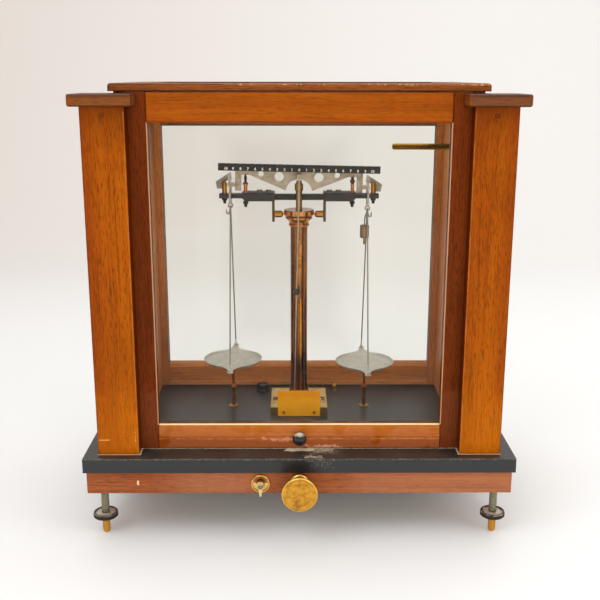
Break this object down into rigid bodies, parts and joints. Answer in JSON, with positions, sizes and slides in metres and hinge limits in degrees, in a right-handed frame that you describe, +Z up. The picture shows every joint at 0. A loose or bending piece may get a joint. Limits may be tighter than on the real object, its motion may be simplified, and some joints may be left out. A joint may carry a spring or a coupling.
{
  "type": "prescription balance",
  "caption": "Knife-edge prescription balance in a glazed mahogany case with a counterpoised rising front sash, beam arrestment and pan brakes",
  "frame": {"origin": "on the surface the feet stand on, under the middle of the bounding box", "axes": "+Z up; -Y is the front, with the sash and the arrestment knob; +X is to the right of someone facing the front"},
  "size_m": [0.44, 0.291, 0.4616],
  "materials": {
    "slate": "black polished slab",
    "mahogany": "waxed mahogany",
    "mahogany_dark": "dark waxed mahogany",
    "glass": "clear sheet glass",
    "ebonite": "turned black ebonite",
    "brass": "lacquered brass, worn",
    "lacquered_brass": "dark copper-brown lacquer",
    "steel": "aged steel",
    "dark_steel": "black-japanned steel",
    "agate": "polished agate",
    "nickel": "spun nickel silver",
    "cord": "waxed cord",
    "iron": "cast weight"
  },
  "bodies": {
    "case": {"base_slab": "slate", "apron_rails": "mahogany", "rear_foot": "brass", "column_boards": "mahogany", "column_caps": "mahogany", "pulley_pins": "steel", "cord_loops": "cord", "side_frames": "mahogany", "rear_frame": "mahogany", "lid_rails": "mahogany", "carcass_panes": "glass", "pillar_base": "brass", "index_plate": "brass", "pillar_tube": "lacquered_brass", "knife_post": "brass", "knife_plane": "agate", "spirit_level": "ebonite", "ball_stud": "brass", "front_escutcheons": "brass", "shaft_brackets": "brass", "guide_bushes": "brass", "carrier_plate": "mahogany", "case_screws": "brass"},
    "sash": {"sash_stiles": "mahogany_dark", "sash_rails": "mahogany", "sash_pane": "glass", "sash_knob": "ebonite", "sash_lugs": "brass", "sash_cords": "cord"},
    "left_counterweight": {"left_weight": "iron", "left_weight_cord": "cord"},
    "right_counterweight": {"right_weight": "iron", "right_weight_cord": "cord"},
    "left_sheave": {"left_pulley": "brass"},
    "right_sheave": {"right_pulley": "brass"},
    "beam": {"beam_truss": "steel", "rider_bar": "ebonite", "knives": "steel", "pointer": "steel"},
    "bob": {"gravity_bob": "brass"},
    "lifter": {"arrest_arms": "dark_steel", "arrest_fasteners": "brass", "arrest_pins": "lacquered_brass", "stirrup_supports": "brass", "arrest_guides": "brass", "push_rod": "steel"},
    "arrest_drive": {"arrest_knob": "brass", "arrest_shaft": "steel"},
    "brake_drive": {"brake_lever": "brass", "brake_shaft": "steel"},
    "pan_brakes": {"brake_yoke": "steel", "brake_stems": "brass"},
    "left_hanger": {"left_stirrup": "steel"},
    "right_hanger": {"right_stirrup": "steel"},
    "left_pan_set": {"left_pan": "nickel"},
    "right_pan_set": {"right_pan": "nickel", "tare_weight": "brass"},
    "rider_carrier": {"rider_rod": "brass"},
    "left_levelling_foot": {"left_foot": "brass"},
    "right_levelling_foot": {"right_foot": "brass"}
  },
  "joints": [
    {"name": "sash_slide", "type": "slide", "parent": "case", "child": "sash", "axis": [0, 0, 1], "range_m": [0, 0.215], "deforming": ["sash_cords"]},
    {"name": "left_weight_slide", "type": "slide", "parent": "case", "child": "left_counterweight", "axis": [0, 0, 1], "range_m": [-0.2155, 0.0005], "deforming": ["left_weight_cord"]},
    {"name": "right_weight_slide", "type": "slide", "parent": "case", "child": "right_counterweight", "axis": [0, 0, 1], "range_m": [-0.2155, 0.0005], "deforming": ["right_weight_cord"]},
    {"name": "left_sheave_turn", "type": "hinge", "parent": "case", "child": "left_sheave", "pos_m": [-0.1814, -0.0855, 0.4235], "axis": [0, 1, 0], "range_deg": [-1545, 5]},
    {"name": "right_sheave_turn", "type": "hinge", "parent": "case", "child": "right_sheave", "pos_m": [0.1814, -0.0855, 0.4235], "axis": [0, 1, 0], "range_deg": [-5, 1545]},
    {"name": "beam_tilt", "type": "hinge", "parent": "case", "child": "beam", "pos_m": [0, 0.0325, 0.356], "axis": [0, 1, 0], "range_deg": [-2.4, 0]},
    {"name": "bob_slide", "type": "slide", "parent": "beam", "child": "bob", "axis": [0.0209, 0, 0.9998], "range_m": [-0.012, 0.012]},
    {"name": "arrest_turn", "type": "hinge", "parent": "case", "child": "arrest_drive", "pos_m": [0, -0.1195, 0.0645], "axis": [0, 1, 0], "range_deg": [-0.4, 90.4]},
    {"name": "lifter_slide", "type": "slide", "parent": "case", "child": "lifter", "axis": [0, 0, 1], "range_m": [-0.0025, 0]},
    {"name": "brake_turn", "type": "hinge", "parent": "case", "child": "brake_drive", "pos_m": [-0.0398, -0.1195, 0.0645], "axis": [0, 1, 0], "range_deg": [-0.4, 80.4]},
    {"name": "brakes_slide", "type": "slide", "parent": "case", "child": "pan_brakes", "axis": [0, 0, 1], "range_m": [-0.0025, 0]},
    {"name": "left_hanger_tilt", "type": "hinge", "parent": "beam", "child": "left_hanger", "pos_m": [-0.07618, 0.0325, 0.3576], "axis": [0, 1, 0], "range_deg": [-0.1, 2.5]},
    {"name": "right_hanger_tilt", "type": "hinge", "parent": "beam", "child": "right_hanger", "pos_m": [0.07618, 0.0325, 0.3544], "axis": [0, 1, 0], "range_deg": [-0.1, 2.5]},
    {"name": "left_pan_swing", "type": "hinge", "parent": "left_hanger", "child": "left_pan_set", "pos_m": [-0.07618, 0.0325, 0.3271], "axis": [1, 0, 0], "range_deg": [-4, 4]},
    {"name": "right_pan_swing", "type": "hinge", "parent": "right_hanger", "child": "right_pan_set", "pos_m": [0.07618, 0.0325, 0.3239], "axis": [1, 0, 0], "range_deg": [-4, 4]},
    {"name": "rider_slide", "type": "slide", "parent": "case", "child": "rider_carrier", "axis": [1, 0, 0], "range_m": [-0.018, 0.06]},
    {"name": "left_foot_turn", "type": "hinge", "parent": "case", "child": "left_levelling_foot", "pos_m": [-0.204, -0.0965, 0.03], "axis": [0, 0, 1], "continuous": true},
    {"name": "right_foot_turn", "type": "hinge", "parent": "case", "child": "right_levelling_foot", "pos_m": [0.204, -0.0965, 0.03], "axis": [0, 0, 1], "continuous": true}
  ],
  "couplings": [
    {"joint": "left_weight_slide", "follows": "sash_slide", "ratio": -1},
    {"joint": "right_weight_slide", "follows": "sash_slide", "ratio": -1},
    {"joint": "left_sheave_turn", "follows": "sash_slide", "rad_per_m": -125},
    {"joint": "right_sheave_turn", "follows": "sash_slide", "rad_per_m": 125},
    {"joint": "arrest_turn", "follows": "lifter_slide", "rad_per_m": -628.32},
    {"joint": "brake_turn", "follows": "brakes_slide", "rad_per_m": -558.51},
    {"joint": "left_hanger_tilt", "follows": "beam_tilt", "ratio": -1},
    {"joint": "right_hanger_tilt", "follows": "beam_tilt", "ratio": -1}
  ]
}
